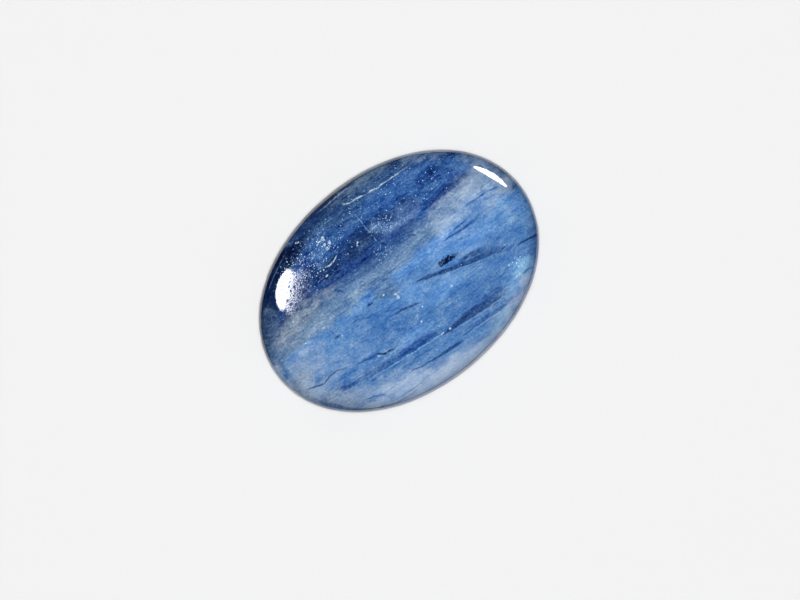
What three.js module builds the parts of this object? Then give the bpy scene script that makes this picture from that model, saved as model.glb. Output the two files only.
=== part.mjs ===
// An oval kyanite cabochon: one polished stone with a full, low dome, a narrow girdle and a flat back.
// Millimetres, +Z up. The origin is the middle of the flat back, +X runs along the stone's length,
// +Y across it, and the dome faces +Z.
import * as THREE from "three";
import { mergeVertices } from "three/addons/utils/BufferGeometryUtils.js";

// The stone's overall size
const LENGTH = 18;
const WIDTH = 13;
const HEIGHT = 4.2;

// The back: a flat face with a ground bevel round its edge
const BEVEL_WIDTH = 0.45;
const BEVEL_HEIGHT = 0.35;

// The girdle is the upright band between the bevel and the dome
const GIRDLE_TOP = 1.2;

// Superellipse exponents: 2 is a plain ellipse, and more is fuller
const OUTLINE_FULLNESS = 2.06;
const DOME_FULLNESS = 2.2;

// How finely the stone is cut into faces
const STEPS_AROUND = 96;
const STEPS_UP_DOME = 22;

const HALF_LENGTH = LENGTH / 2;
const HALF_WIDTH = WIDTH / 2;
const DOME_RISE = HEIGHT - GIRDLE_TOP;
const BACK_SHARE = 1 - BEVEL_WIDTH / HALF_WIDTH;

// A cosine or sine bent to a superellipse of the given fullness
function bent(value, fullness) {
  return Math.sign(value) * Math.abs(value) ** (2 / fullness);
}

// The half profile from the back's centre to the top of the dome. x is the share of the outline's
// radius, and y is the height above the back.
function profile() {
  const points = [
    new THREE.Vector2(0, 0),
    new THREE.Vector2(BACK_SHARE, 0),
    new THREE.Vector2(1, BEVEL_HEIGHT),
    new THREE.Vector2(1, GIRDLE_TOP),
  ];
  for (let step = 1; step < STEPS_UP_DOME; step += 1) {
    const rise = (step / STEPS_UP_DOME) * (Math.PI / 2);
    const share = bent(Math.cos(rise), DOME_FULLNESS);
    points.push(new THREE.Vector2(share, GIRDLE_TOP + DOME_RISE * bent(Math.sin(rise), DOME_FULLNESS)));
  }
  points.push(new THREE.Vector2(0, HEIGHT));
  return points;
}

// The profile turned round the upright axis, then spread from a circle to the stone's oval outline
function cabochonGeometry() {
  const turned = new THREE.LatheGeometry(profile(), STEPS_AROUND);
  turned.rotateX(Math.PI / 2);
  turned.deleteAttribute("normal");
  turned.deleteAttribute("uv");
  const places = turned.getAttribute("position");
  for (let i = 0; i < places.count; i += 1) {
    const share = Math.hypot(places.getX(i), places.getY(i));
    const angle = Math.atan2(places.getY(i), places.getX(i));
    const x = share * HALF_LENGTH * bent(Math.cos(angle), OUTLINE_FULLNESS);
    const y = share * HALF_WIDTH * bent(Math.sin(angle), OUTLINE_FULLNESS);
    places.setXY(i, x, y);
  }
  const closed = mergeVertices(turned);
  closed.computeVertexNormals();
  return closed;
}

const kyanite = new THREE.MeshStandardMaterial({ color: 0x5b86bd, roughness: 0.08, metalness: 0 });

const stone = new THREE.Mesh(cabochonGeometry(), kyanite);
stone.name = "kyanite_cabochon";

const cabochon = new THREE.Group();
cabochon.add(stone);

export default cabochon;
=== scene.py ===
"""Dresses an oval kyanite cabochon: the polished stone, its banded blue colour and a studio to see it in.

The stone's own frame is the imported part's: metres, +X along the oval's length, +Y across it, +Z up
through the dome. Places on the stone are given in millimetres in that frame, as (along, across) from the
middle of the oval.
"""

import logging
import math
from dataclasses import dataclass, field
from enum import Enum
from typing import Iterable, NamedTuple, Optional, Sequence, Union

import bpy
from mathutils import Matrix, Quaternion, Vector

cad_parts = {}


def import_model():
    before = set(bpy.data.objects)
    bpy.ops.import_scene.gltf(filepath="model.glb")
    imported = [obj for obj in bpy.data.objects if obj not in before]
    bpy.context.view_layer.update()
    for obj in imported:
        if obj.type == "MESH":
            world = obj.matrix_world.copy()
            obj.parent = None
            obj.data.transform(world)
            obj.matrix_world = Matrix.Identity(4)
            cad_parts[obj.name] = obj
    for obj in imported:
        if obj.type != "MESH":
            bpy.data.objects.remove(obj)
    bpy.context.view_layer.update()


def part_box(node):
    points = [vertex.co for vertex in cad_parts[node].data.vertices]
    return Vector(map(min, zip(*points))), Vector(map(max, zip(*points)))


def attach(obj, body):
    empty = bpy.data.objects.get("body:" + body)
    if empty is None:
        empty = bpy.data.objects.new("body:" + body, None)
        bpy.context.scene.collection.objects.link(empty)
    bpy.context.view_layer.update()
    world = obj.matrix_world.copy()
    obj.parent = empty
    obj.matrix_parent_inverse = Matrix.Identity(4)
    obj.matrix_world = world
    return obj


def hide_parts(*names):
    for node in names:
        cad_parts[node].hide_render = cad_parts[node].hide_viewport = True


LOG = logging.getLogger("cabochon")

MILLIMETRE = 0.001
STONE_NODE = "kyanite_cabochon"
STONE_BODY = "root"

Colour = tuple[float, float, float, float]
Socket = bpy.types.NodeSocket
Feed = Union[Socket, float, Sequence[float]]


def shade(red: int, green: int, blue: int) -> Colour:
    """Turns a colour as a screen shows it, 0 to 255, into the linear colour that a shader takes.

    Args:
        red: The red share, 0 to 255.
        green: The green share, 0 to 255.
        blue: The blue share, 0 to 255.

    Returns:
        The linear colour with full alpha.
    """

    def linear(value: int) -> float:
        share = value / 255
        return share / 12.92 if share <= 0.04045 else ((share + 0.055) / 1.055) ** 2.4

    return (linear(red), linear(green), linear(blue), 1.0)


class Blue(Enum):
    """The stone's colours, from its palest skin to its deepest zone; some also serve for painted light and
    painted shade.
    """

    PALE = shade(188, 214, 246)
    MIST = shade(142, 176, 218)
    ASH = shade(150, 174, 203)
    HAZE = shade(105, 137, 174)
    GREY_HAZE = shade(119, 138, 161)
    AZURE = shade(112, 166, 230)
    CORNFLOWER = shade(101, 152, 212)
    CERULEAN = shade(94, 143, 203)
    STEEL = shade(83, 132, 196)
    DIM = shade(78, 113, 160)
    SLATE = shade(64, 92, 134)
    LILAC = shade(84, 118, 172)
    COBALT = shade(60, 108, 180)
    TWILIGHT = shade(58, 96, 150)
    ROYAL = shade(42, 86, 158)
    NAVY = shade(34, 67, 128)
    DUSK = shade(22, 37, 74)
    INK = shade(10, 28, 72)
    GLINT = shade(150, 206, 250)
    FROST = shade(222, 250, 255)


@dataclass(frozen=True)
class Mark:
    """A soft oval in the stone's colour: a cloud, a streak along a blade or a hairline crack.

    Attributes:
        along: The middle's place along the oval, in millimetres.
        across: The middle's place across the oval, in millimetres.
        reach: Half of its length, in millimetres.
        breadth: Half of its width, in millimetres.
        turn: The angle of its length from +X, in degrees.
        tint: Its colour.
        strength: How much of that colour it has at its middle, 0 to 1.
    """

    along: float
    across: float
    reach: float
    breadth: float
    turn: float
    tint: Blue
    strength: float = 1.0


@dataclass(frozen=True)
class Vein:
    """A long thin layer along the blades: one long side is clean, and the other fades out.

    Attributes:
        stations: Its course in order, each (along, across, breadth, strength) in millimetres and 0 to 1,
            where across is the place of the clean side.
        tint: Its colour.
    """

    stations: tuple[tuple[float, float, float, float], ...]
    tint: Blue


# Clouds and streaks in the colour, each over those before it; some are painted light, as marked below
CLOUDS = (
    Mark(-6.2, 1.7, 3.3, 1.2, 2, Blue.GREY_HAZE, 0.95),
    Mark(-8.3, 2.4, 1.5, 1.4, 50, Blue.SLATE, 0.8),
    Mark(-8.6, 0.9, 0.7, 1.2, 0, Blue.DIM, 0.7),
    Mark(-4.6, 0.9, 2.4, 0.9, -2, Blue.HAZE, 0.8),
    Mark(-7.2, -0.5, 1.5, 1.5, 0, Blue.MIST, 0.95),
    Mark(-6.3, 0.1, 1.3, 0.8, 0, Blue.MIST, 0.5),
    Mark(-8.1, -1.7, 1.5, 1.8, -12, Blue.ASH, 1.0),
    Mark(-6.6, -1.8, 1.8, 1.1, 0, Blue.MIST, 0.8),
    Mark(-9.0, 0.0, 0.7, 1.5, 0, Blue.PALE, 0.9),
    Mark(-8.0, -1.9, 1.0, 1.0, 0, Blue.PALE, 0.4),
    Mark(-7.8, -3.1, 0.8, 1.0, -40, Blue.DIM, 0.6),
    Mark(-6.8, -3.2, 1.3, 1.1, -30, Blue.ASH, 0.7),
    Mark(-5.0, -3.7, 1.4, 0.5, -8, Blue.MIST, 0.7),
    Mark(-6.0, -4.1, 1.4, 1.0, -30, Blue.ASH, 0.95),
    Mark(-4.6, -4.05, 2.4, 0.8, -8, Blue.MIST, 0.85),
    Mark(-1.0, 0.3, 1.2, 0.9, 0, Blue.DIM, 0.85),
    Mark(0.4, 1.3, 2.0, 0.7, 0, Blue.DIM, 0.55),
    Mark(-1.8, -1.7, 2.9, 1.3, -6, Blue.STEEL, 0.85),
    Mark(-3.2, -0.5, 1.6, 0.8, 0, Blue.STEEL, 0.4),
    Mark(0.1, -1.1, 1.2, 0.8, -6, Blue.AZURE, 0.7),
    Mark(1.6, -1.95, 1.8, 0.6, -6, Blue.AZURE, 0.85),
    Mark(-4.6, -1.6, 2.2, 0.8, -6, Blue.MIST, 0.35),
    Mark(-1.2, -3.0, 1.5, 0.55, 0, Blue.AZURE, 0.7),
    Mark(-1.3, -1.1, 1.5, 0.6, -6, Blue.CORNFLOWER, 0.8),
    Mark(-4.6, -3.05, 1.6, 0.4, -8, Blue.MIST, 0.4),
    Mark(3.6, -0.1, 2.0, 0.9, 0, Blue.AZURE, 1.0),
    Mark(4.0, 0.1, 2.0, 0.6, 0, Blue.MIST, 0.5),
    Mark(4.8, -1.1, 1.4, 0.5, -8, Blue.MIST, 0.4),
    Mark(4.9, -0.9, 1.8, 0.7, -10, Blue.AZURE, 0.95),
    Mark(7.0, -0.4, 2.4, 1.0, -4, Blue.AZURE, 0.7),
    Mark(8.3, -1.1, 0.8, 1.0, 0, Blue.AZURE, 0.8),
    Mark(6.0, -2.3, 2.8, 1.1, -12, Blue.STEEL, 0.9),
    Mark(6.6, -2.5, 2.0, 1.2, 20, Blue.AZURE, 0.25),
    Mark(2.8, -2.9, 1.6, 0.5, 0, Blue.AZURE, 0.5),
    Mark(2.6, -3.1, 3.4, 0.9, -6, Blue.STEEL, 0.95),
    Mark(3.4, 1.1, 1.6, 0.7, 0, Blue.HAZE, 0.6),
    Mark(5.0, 1.3, 2.6, 1.1, 4, Blue.ASH, 0.5),
    Mark(7.0, 1.7, 2.2, 1.3, 10, Blue.ASH, 0.75),
    Mark(5.3, 0.9, 2.4, 0.6, 2, Blue.MIST, 0.5),
    Mark(6.6, 0.5, 2.2, 0.8, 0, Blue.MIST, 0.45),
    # Painted highlight: a pale patch where the right window's reflection spreads
    Mark(8.3, 0.5, 0.7, 1.1, 0, Blue.ASH, 0.8),
    Mark(8.65, 0.05, 0.25, 0.25, 0, Blue.SLATE, 0.9),
    Mark(-6.3, 4.3, 2.4, 1.1, 38, Blue.INK, 0.95),
    Mark(-7.3, 2.9, 1.1, 0.8, 40, Blue.SLATE, 0.95),
    Mark(-3.4, 2.0, 1.1, 0.45, 0, Blue.GREY_HAZE, 0.4),
    Mark(-4.2, 5.3, 3.0, 0.9, 16, Blue.INK, 0.95),
    Mark(-2.2, 5.9, 2.4, 0.6, 6, Blue.NAVY, 0.8),
    Mark(-2.6, 2.85, 2.2, 0.8, 4, Blue.NAVY, 0.95),
    Mark(-0.4, 2.3, 2.0, 1.2, -6, Blue.NAVY, 0.95),
    Mark(1.4, 2.1, 1.4, 0.7, -20, Blue.NAVY, 0.7),
    Mark(-0.3, 3.0, 1.6, 0.7, 0, Blue.DUSK, 0.45),
    Mark(-2.8, 3.0, 1.4, 0.6, 4, Blue.DUSK, 0.4),
    Mark(4.7, 3.1, 1.9, 0.9, -10, Blue.ROYAL, 0.95),
    Mark(3.5, 2.5, 0.9, 0.9, 60, Blue.ROYAL, 0.7),
    Mark(6.4, 4.3, 2.2, 0.8, -34, Blue.ROYAL, 0.9),
    Mark(3.2, 4.2, 3.2, 1.0, -4, Blue.COBALT, 0.9),
    Mark(6.6, 3.1, 1.9, 0.8, -4, Blue.COBALT, 0.95),
    Mark(5.6, 3.2, 1.4, 0.6, 0, Blue.ROYAL, 0.7),
    Mark(8.1, 2.7, 1.1, 0.9, -50, Blue.MIST, 0.8),
    Mark(5.8, 5.0, 2.1, 0.75, -30, Blue.MIST, 0.7),
    Mark(1.3, 3.2, 1.0, 0.8, 10, Blue.LILAC, 0.95),
    Mark(2.7, 2.8, 1.4, 0.9, 0, Blue.LILAC, 0.9),
    Mark(-2.2, 4.3, 1.5, 1.0, 6, Blue.COBALT, 0.55),
    Mark(2.2, 5.9, 2.4, 0.6, -6, Blue.HAZE, 0.8),
    # Painted light: the pale clouds along the lower edge, where light shines through the thin rim
    Mark(-3.9, -4.95, 3.0, 0.85, -10, Blue.PALE, 0.8),
    Mark(-0.6, -5.95, 3.8, 0.8, 0, Blue.PALE, 0.95),
    Mark(1.6, -5.25, 1.3, 0.5, 0, Blue.CORNFLOWER, 0.7),
    Mark(3.0, -5.2, 1.0, 0.45, 0, Blue.MIST, 0.9),
    Mark(3.1, -5.85, 1.8, 0.45, 8, Blue.PALE, 1.0),
    Mark(4.7, -5.1, 2.0, 0.7, 22, Blue.PALE, 0.8),
    Mark(3.6, -4.1, 1.5, 0.45, -4, Blue.ROYAL, 0.7),
    Mark(2.7, -4.62, 1.2, 0.25, -4, Blue.CORNFLOWER, 0.9),
    # Painted light: the bright glint low on the right and its pale blue glow, where window light is focused
    # through the dome
    Mark(5.8, -4.1, 1.9, 1.0, 26, Blue.AZURE, 0.95),
    Mark(5.7, -4.2, 1.6, 0.9, 24, Blue.AZURE, 1.0),
    Mark(5.3, -4.85, 1.4, 0.5, 24, Blue.PALE, 0.8),
    Mark(6.15, -3.85, 1.2, 0.65, 24, Blue.GLINT, 0.85),
    Mark(7.9, -3.1, 1.4, 0.5, 52, Blue.COBALT, 0.5),
    # Painted light: more pale glow along the lower edge
    Mark(3.2, -5.6, 1.4, 0.8, 10, Blue.GLINT, 0.4),
    # Painted light: more of the glow round the glint low on the right
    Mark(5.1, -4.1, 1.2, 0.7, 24, Blue.GLINT, 0.35),
    Mark(-3.0, 5.95, 1.3, 0.5, 10, Blue.TWILIGHT, 0.5),
    Mark(-5.2, 4.9, 0.9, 0.6, 30, Blue.INK, 0.5),
    Mark(7.0, 3.0, 0.9, 0.7, -30, Blue.CORNFLOWER, 0.3),
    # Painted highlight: pale haze at the low end of the right window's reflection
    Mark(7.0, 0.6, 0.9, 0.8, 0, Blue.MIST, 0.5),
    Mark(6.0, 0.0, 0.8, 0.6, 0, Blue.STEEL, 0.4),
)

# Dark layers between the blades
DARK_VEINS = (
    Vein(((0.65, -0.7, 0.06, 0), (0.8, -0.72, 0.14, 0.8), (1.3, -0.95, 0.34, 0.8),
          (1.9, -1.17, 0.38, 0.8), (2.6, -1.42, 0.36, 0.85), (3.4, -1.7, 0.4, 0.85),
          (4.2, -1.94, 0.44, 0.75), (5.0, -2.18, 0.48, 0.6), (5.9, -2.55, 0.5, 0.5),
          (6.3, -2.75, 0.3, 0)), Blue.NAVY),
    Vein(((3.3, -1.32, 0.1, 0), (3.7, -1.45, 0.26, 0.85), (4.3, -1.6, 0.34, 0.85), (4.8, -1.75, 0.4, 0.6),
          (5.5, -2.1, 0.4, 0)), Blue.NAVY),
    Vein(((-0.15, -4.02, 0.06, 0), (0.1, -4.08, 0.09, 0.9), (0.9, -4.19, 0.42, 0.8),
          (1.6, -4.27, 0.54, 0.9), (2.4, -4.36, 0.66, 0.9), (3.1, -4.44, 0.6, 0.85),
          (3.9, -4.46, 0.42, 0.6), (4.8, -4.5, 0.3, 0)), Blue.NAVY),
    Vein(((0.75, -4.86, 0.1, 0), (1.0, -4.88, 0.22, 0.8), (1.6, -4.86, 0.34, 0.7),
          (2.4, -4.92, 0.36, 0.8), (3.2, -5.0, 0.3, 0.65), (4.2, -5.02, 0.24, 0.5),
          (5.4, -4.98, 0.2, 0)), Blue.COBALT),
    Vein(((-3.1, -4.52, 0.08, 0), (-2.6, -4.56, 0.12, 0.9), (-2.2, -4.7, 0.13, 0.8),
          (-1.4, -4.85, 0.16, 0.8), (-0.5, -4.97, 0.2, 0.8), (0.2, -5.05, 0.24, 0.85),
          (0.65, -5.07, 0.18, 0.6), (0.9, -5.05, 0.1, 0)), Blue.NAVY),
    Vein(((-6.8, -2.9, 0.2, 0), (-6.4, -2.98, 0.38, 0.7), (-5.8, -3.1, 0.4, 0.7),
          (-5.2, -3.22, 0.42, 0.35), (-4.3, -3.37, 0.48, 0.45), (-3.4, -3.52, 0.5, 0.8),
          (-2.4, -3.63, 0.55, 0.85), (-1.4, -3.74, 0.55, 0.8), (-0.2, -3.88, 0.42, 0.75),
          (0.0, -3.9, 0.2, 0)), Blue.ROYAL),
    Vein(((-6.9, -2.6, 0.1, 0), (-6.4, -2.85, 0.16, 0.8), (-5.7, -3.0, 0.15, 0.8),
          (-5.0, -2.97, 0.1, 0.4), (-4.5, -2.97, 0.1, 0)), Blue.ROYAL),
    Vein(((0.8, -5.66, 0.1, 0), (1.3, -5.7, 0.18, 0.6), (2.1, -5.72, 0.24, 0.6), (2.8, -5.5, 0.24, 0.5),
          (3.1, -5.35, 0.1, 0)), Blue.STEEL),
    Vein(((5.5, 0.95, 0.06, 0), (5.8, 0.88, 0.13, 0.8), (6.4, 0.82, 0.16, 0.7), (7.2, 0.76, 0.16, 0.8),
          (7.7, 0.62, 0.16, 0.95), (8.15, 0.58, 0.08, 0)), Blue.COBALT),
    Vein(((3.1, 0.14, 0.06, 0), (3.8, 0.09, 0.13, 0.9), (4.5, -0.02, 0.2, 0.9), (5.2, -0.1, 0.26, 0.8),
          (6.0, -0.12, 0.3, 0.6), (6.9, -0.08, 0.2, 0)), Blue.COBALT),
    Vein(((4.15, 0.28, 0.06, 0), (4.4, 0.25, 0.17, 1), (5.0, 0.25, 0.15, 0.9),
          (5.4, 0.28, 0.06, 0)), Blue.ROYAL),
    Vein(((4.05, -0.4, 0.05, 0), (4.3, -0.4, 0.13, 0.9), (4.65, -0.42, 0.05, 0)), Blue.COBALT),
    Vein(((4.5, -0.54, 0.05, 0), (4.75, -0.54, 0.11, 0.8), (5.05, -0.54, 0.05, 0)), Blue.COBALT),
    Vein(((2.9, -2.26, 0.06, 0), (3.4, -2.3, 0.1, 0.7), (4.2, -2.36, 0.12, 0.6),
          (4.9, -2.48, 0.1, 0)), Blue.COBALT),
    Vein(((6.4, -2.72, 0.06, 0), (6.8, -2.76, 0.14, 0.8), (7.4, -2.88, 0.15, 0.9), (7.9, -3.02, 0.2, 0.9),
          (8.3, -3.1, 0.1, 0)), Blue.NAVY),
    Vein(((-2.2, -2.05, 0.1, 0), (-1.8, -2.25, 0.22, 0.6), (-1.2, -2.6, 0.24, 0.6),
          (-0.6, -2.75, 0.24, 0.7), (0.1, -2.85, 0.14, 0.5), (0.4, -2.9, 0.08, 0)), Blue.COBALT),
    Vein(((-8.3, -2.0, 0.2, 0), (-7.9, -2.8, 0.36, 0.6), (-7.4, -3.5, 0.42, 0.7),
          (-6.9, -4.15, 0.42, 0.7), (-6.3, -4.7, 0.36, 0.65), (-5.5, -5.2, 0.28, 0.6),
          (-4.6, -5.5, 0.18, 0.5), (-3.4, -5.62, 0.12, 0.3), (-2.0, -5.55, 0.1, 0)), Blue.DIM),
    Vein(((-3.3, 1.85, 0.1, 0), (-3.15, 1.75, 0.3, 0.7), (-2.9, 1.5, 0.3, 0.6),
          (-2.6, 1.3, 0.1, 0)), Blue.NAVY),
)

# Hairline cracks and small dark inclusions
CRACKS = (
    Vein(((2.3, -0.86, 0.11, 0), (2.4, -0.94, 0.46, 1), (2.9, -0.97, 0.57, 1), (3.3, -1.0, 0.41, 1),
          (3.8, -0.97, 0.09, 0)), Blue.INK),
    Vein(((-8.3, -1.45, 0.09, 0), (-8.0, -1.62, 0.12, 0.7), (-7.5, -1.84, 0.17, 0.9),
          (-7.1, -1.93, 0.15, 0.9), (-6.6, -1.84, 0.15, 0.8), (-6.1, -1.84, 0.14, 0.7),
          (-5.6, -2.0, 0.11, 0.5), (-5.3, -2.08, 0.09, 0)), Blue.NAVY),
    Vein(((-7.3, -1.76, 0.08, 0), (-6.9, -1.7, 0.09, 0.5), (-6.3, -1.66, 0.09, 0.5),
          (-5.9, -1.72, 0.08, 0)), Blue.COBALT),
    Vein(((-5.1, -2.2, 0.09, 0), (-4.8, -2.32, 0.2, 0.8), (-4.3, -2.44, 0.2, 0.8),
          (-3.9, -2.54, 0.18, 0.8), (-3.6, -2.58, 0.15, 0.5), (-3.5, -2.6, 0.09, 0)), Blue.ROYAL),
    Vein(((-3.7, -2.52, 0.09, 0), (-3.55, -2.62, 0.22, 0.9), (-3.3, -2.82, 0.22, 1),
          (-3.0, -2.9, 0.18, 1), (-2.6, -2.9, 0.14, 0.6), (-2.3, -2.9, 0.08, 0)), Blue.INK),
    Vein(((-1.75, -1.3, 0.08, 0), (-1.4, -1.42, 0.14, 0.7), (-0.9, -1.47, 0.17, 0.9),
          (-0.5, -1.6, 0.17, 0.9), (0.0, -1.74, 0.14, 0.8), (0.4, -1.84, 0.09, 0.3),
          (1.6, -1.93, 0.08, 0)), Blue.NAVY),
    Vein(((-1.9, -0.85, 0.08, 0), (-1.6, -1.0, 0.12, 0.7), (-1.1, -1.2, 0.12, 0.6),
          (-0.7, -1.3, 0.08, 0)), Blue.ROYAL),
    Vein(((-3.4, -0.15, 0.08, 0), (-3.0, -0.45, 0.11, 0.5), (-2.7, -0.58, 0.15, 0.8),
          (-2.3, -0.62, 0.11, 0.6), (-1.3, -0.8, 0.08, 0)), Blue.ROYAL),
    Vein(((-4.0, -0.02, 0.05, 0), (-3.7, 0.0, 0.1, 0.8), (-3.3, 0.0, 0.1, 0.8),
          (-3.05, -0.02, 0.05, 0)), Blue.STEEL),
    Vein(((-3.75, -0.25, 0.05, 0), (-3.5, -0.25, 0.1, 0.8), (-3.2, -0.3, 0.1, 0.7),
          (-3.0, -0.4, 0.05, 0)), Blue.ROYAL),
    Vein(((-1.8, 0.52, 0.05, 0), (-1.6, 0.54, 0.1, 0.8), (-1.35, 0.46, 0.1, 0.6), (-1.15, 0.54, 0.1, 0.8),
          (-0.95, 0.54, 0.05, 0)), Blue.ROYAL),
    Vein(((-2.5, -0.6, 0.09, 0), (-2.3, -0.8, 0.15, 0.6), (-2.1, -1.0, 0.12, 0)), Blue.ROYAL),
    Vein(((-6.1, -4.1, 0.08, 0), (-5.7, -4.2, 0.11, 0.7), (-5.3, -4.35, 0.12, 0.8),
          (-4.8, -4.65, 0.11, 0.7), (-4.6, -4.75, 0.08, 0)), Blue.COBALT),
    Vein(((-4.7, -4.62, 0.08, 0), (-4.2, -4.6, 0.11, 0.5), (-3.7, -4.62, 0.08, 0)), Blue.COBALT),
    Vein(((-4.6, -5.22, 0.08, 0), (-4.0, -5.36, 0.11, 0.5), (-3.0, -5.42, 0.11, 0.5),
          (-1.6, -5.42, 0.08, 0)), Blue.COBALT),
    Vein(((-3.2, -4.05, 0.08, 0), (-2.9, -4.14, 0.15, 0.7), (-2.4, -4.2, 0.11, 0.4),
          (-2.0, -4.12, 0.12, 0.7), (-1.4, -4.22, 0.11, 0.5), (-1.0, -4.3, 0.08, 0)), Blue.ROYAL),
    Vein(((-2.4, -0.06, 0.09, 0), (-2.3, -0.06, 0.2, 1), (-2.0, -0.08, 0.18, 1),
          (-1.92, -0.08, 0.09, 0)), Blue.NAVY),
    Vein(((-5.1, -0.3, 0.09, 0), (-4.9, -0.36, 0.2, 0.9), (-4.72, -0.36, 0.2, 0.9),
          (-4.6, -0.3, 0.09, 0)), Blue.ROYAL),
    Vein(((-0.9, 0.5, 0.08, 0), (-0.75, 0.5, 0.15, 0.8), (-0.5, 0.5, 0.12, 0.7),
          (-0.4, 0.5, 0.08, 0)), Blue.NAVY),
    Vein(((1.95, 1.6, 0.09, 0), (2.1, 1.6, 0.2, 0.9), (2.4, 1.42, 0.15, 0.8),
          (2.5, 1.4, 0.09, 0)), Blue.NAVY),
    Vein(((-1.1, 1.95, 0.09, 0), (-0.9, 1.93, 0.24, 0.9), (-0.6, 1.93, 0.21, 0.8),
          (-0.5, 1.95, 0.09, 0)), Blue.NAVY),
    Vein(((-5.4, 1.72, 0.09, 0), (-4.8, 1.7, 0.15, 0.6), (-4.2, 1.72, 0.12, 0.5),
          (-3.9, 1.75, 0.08, 0)), Blue.DIM),
    Vein(((4.3, 1.66, 0.08, 0), (5.0, 1.66, 0.11, 0.5), (6.1, 1.62, 0.08, 0)), Blue.STEEL),
    Vein(((-0.4, 0.7, 0.08, 0), (0.2, 0.7, 0.11, 0.4), (1.2, 0.7, 0.12, 0.5), (2.0, 0.62, 0.11, 0.4),
          (2.4, 0.58, 0.08, 0)), Blue.COBALT),
    Vein(((5.75, -4.2, 0.08, 0), (6.0, -4.22, 0.15, 0.8), (6.4, -4.26, 0.12, 0.7),
          (6.7, -4.3, 0.08, 0)), Blue.ROYAL),
)

# Scratches and bright layers that show on the dome, and a few painted light streaks
PALE_VEINS = (
    Vein(((-5.6, -3.24, 0.05, 0), (-5.0, -3.33, 0.06, 0.4), (-4.0, -3.48, 0.06, 0.5),
          (-3.1, -3.62, 0.08, 0.7), (-2.4, -3.72, 0.09, 0.9), (-1.4, -3.83, 0.09, 0.8),
          (-0.3, -3.97, 0.08, 0.7), (0.1, -4.01, 0.05, 0)), Blue.GLINT),
    Vein(((0.1, -4.16, 0.05, 0), (1.0, -4.27, 0.06, 0.6), (2.0, -4.38, 0.07, 0.7), (3.0, -4.5, 0.08, 0.7),
          (4.0, -4.54, 0.06, 0.6), (4.9, -4.57, 0.05, 0)), Blue.MIST),
    Vein(((0.9, -4.96, 0.05, 0), (1.6, -4.94, 0.06, 0.5), (2.4, -5.0, 0.07, 0.6), (3.4, -5.09, 0.07, 0.6),
          (4.2, -5.1, 0.05, 0)), Blue.PALE),
    Vein(((2.3, -1.4, 0.05, 0), (2.9, -1.57, 0.06, 0.4), (3.5, -1.78, 0.07, 0.6), (4.3, -2.05, 0.06, 0.5),
          (4.8, -2.22, 0.05, 0)), Blue.MIST),
    Vein(((0.25, 5.48, 0.1, 0), (0.36, 5.38, 0.15, 1), (0.6, 5.28, 0.1, 1), (0.8, 5.24, 0.06, 0.5),
          (1.0, 5.2, 0.1, 1), (1.4, 5.15, 0.09, 0.95), (1.6, 5.11, 0.05, 0.25), (1.8, 5.07, 0.05, 0.35),
          (2.0, 5.03, 0.11, 1), (2.3, 4.97, 0.12, 1), (2.5, 4.95, 0.06, 0.4), (2.75, 4.94, 0.1, 0.95),
          (3.1, 4.9, 0.05, 0.4), (3.4, 4.88, 0.09, 0.9), (3.8, 4.87, 0.09, 0.95), (4.1, 4.86, 0.06, 0.4),
          (4.4, 4.84, 0.05, 0.5), (4.9, 4.8, 0.05, 0)), Blue.FROST),
    Vein(((-1.9, 5.31, 0.05, 0), (-1.5, 5.28, 0.07, 0.6), (-0.5, 5.2, 0.07, 0.7), (0.0, 5.18, 0.07, 0.6),
          (0.2, 5.18, 0.05, 0)), Blue.MIST),
    Vein(((-0.6, 4.78, 0.05, 0), (-0.3, 4.75, 0.07, 0.5), (0.4, 4.68, 0.07, 0.5),
          (0.5, 4.68, 0.05, 0)), Blue.MIST),
    Vein(((-1.4, 6.0, 0.05, 0), (-0.3, 6.03, 0.08, 0.8), (0.2, 6.1, 0.09, 0.95), (1.0, 6.03, 0.08, 0.8),
          (1.5, 5.95, 0.05, 0)), Blue.PALE),
    Vein(((-6.3, 4.3, 0.05, 0), (-6.0, 4.45, 0.06, 0.45), (-5.4, 4.77, 0.07, 0.5),
          (-4.8, 5.05, 0.07, 0.5), (-4.3, 5.27, 0.06, 0.35), (-3.9, 5.42, 0.05, 0)), Blue.MIST),
    Vein(((-2.8, 3.28, 0.06, 0), (-2.6, 3.19, 0.11, 1), (-2.4, 3.19, 0.1, 0.9), (-2.15, 3.27, 0.1, 0.95),
          (-1.95, 3.37, 0.1, 0.9), (-1.85, 3.43, 0.06, 0)), Blue.FROST),
    Vein(((0.4, 3.25, 0.05, 0), (0.6, 3.25, 0.08, 0.7), (1.0, 3.28, 0.09, 0.9),
          (1.15, 3.31, 0.05, 0)), Blue.PALE),
    Vein(((6.0, -3.1, 0.1, 0), (6.08, -2.95, 0.2, 0.6), (6.2, -2.74, 0.1, 0.7), (6.6, -2.65, 0.08, 0.6),
          (6.8, -2.64, 0.05, 0)), Blue.MIST),
    Vein(((7.0, -0.1, 0.05, 0), (7.3, -0.13, 0.2, 0.8), (7.7, -0.12, 0.2, 0.7), (8.1, -0.16, 0.08, 0.3),
          (8.2, -0.16, 0.05, 0)), Blue.GLINT),
    Vein(((7.0, -0.3, 0.05, 0), (7.2, -0.3, 0.14, 0.9), (7.7, -0.27, 0.14, 0.8),
          (8.0, -0.25, 0.05, 0)), Blue.GLINT),
    # Painted light: short bright streaks beside the glint low on the right
    Vein(((5.2, -4.14, 0.06, 0), (5.4, -4.14, 0.16, 0.9), (5.75, -4.15, 0.14, 0.8),
          (5.9, -4.16, 0.06, 0)), Blue.FROST),
)

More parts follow.
